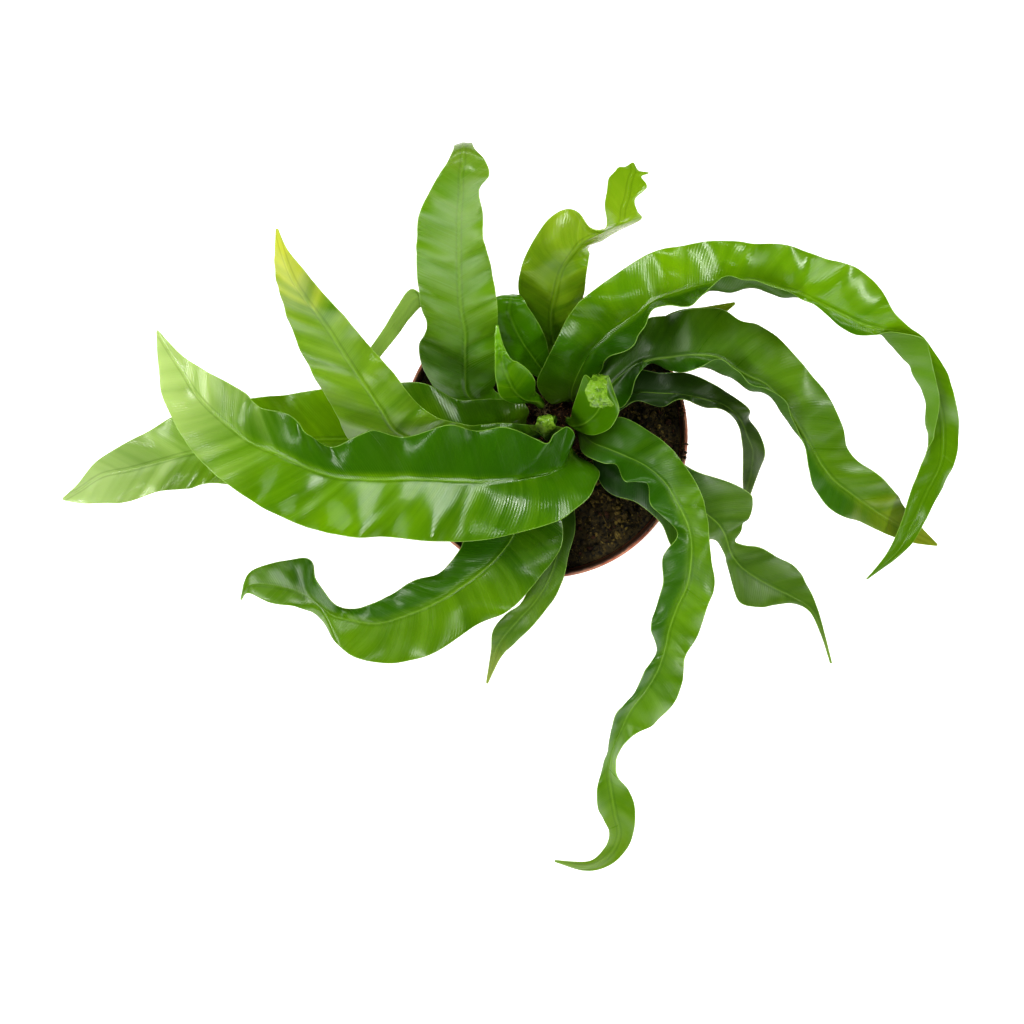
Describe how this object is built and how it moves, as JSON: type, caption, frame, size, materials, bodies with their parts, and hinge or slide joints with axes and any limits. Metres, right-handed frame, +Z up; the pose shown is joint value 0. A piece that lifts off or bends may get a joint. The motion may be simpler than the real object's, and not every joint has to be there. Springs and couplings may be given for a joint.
{
  "type": "potted birds nest fern",
  "caption": "Bird's nest fern with long wavy arching fronds around a scaly crown, growing in soil in a round plastic nursery pot.",
  "frame": {"origin": "middle of the pot's flat base, at the surface that the pot stands on", "axes": "+Z up along the pot's axis, +X towards the longest arching frond, -Y towards the front frond"},
  "size_m": [0.4406, 0.3545, 0.2717],
  "materials": {
    "pot": "matte moulded plastic",
    "soil": "moist dark potting mix, as light as bark and peat",
    "crown": "dry brown scales",
    "frond_a": "glossy living leaf, lighter below",
    "frond_b": "glossy living leaf, lighter below",
    "frond_c": "glossy living leaf, lighter below",
    "frond_d": "glossy living leaf, lighter below",
    "frond_e": "glossy living leaf, lighter below",
    "frond_f": "glossy living leaf, lighter below",
    "frond_g": "glossy living leaf, lighter below",
    "frond_h": "glossy living leaf, lighter below",
    "frond_i": "glossy living leaf, lighter below",
    "frond_j": "glossy living leaf, lighter below",
    "frond_k": "glossy living leaf, lighter below",
    "frond_l": "glossy living leaf, lighter below",
    "frond_m": "glossy living leaf, lighter below",
    "frond_o": "glossy living leaf, lighter below",
    "frond_p": "glossy living leaf, lighter below",
    "young_frond_1": "glossy living leaf, lighter below",
    "young_frond_2": "glossy living leaf, lighter below",
    "young_frond_3": "glossy living leaf, lighter below"
  },
  "bodies": {
    "root": {"pot": "pot", "soil": "soil", "crown": "crown", "frond_a": "frond_a", "frond_b": "frond_b", "frond_c": "frond_c", "frond_d": "frond_d", "frond_e": "frond_e", "frond_f": "frond_f", "frond_g": "frond_g", "frond_h": "frond_h", "frond_i": "frond_i", "frond_j": "frond_j", "frond_k": "frond_k", "frond_l": "frond_l", "frond_m": "frond_m", "frond_o": "frond_o", "frond_p": "frond_p", "young_frond_1": "young_frond_1", "young_frond_2": "young_frond_2", "young_frond_3": "young_frond_3"}
  },
  "joints": []
}
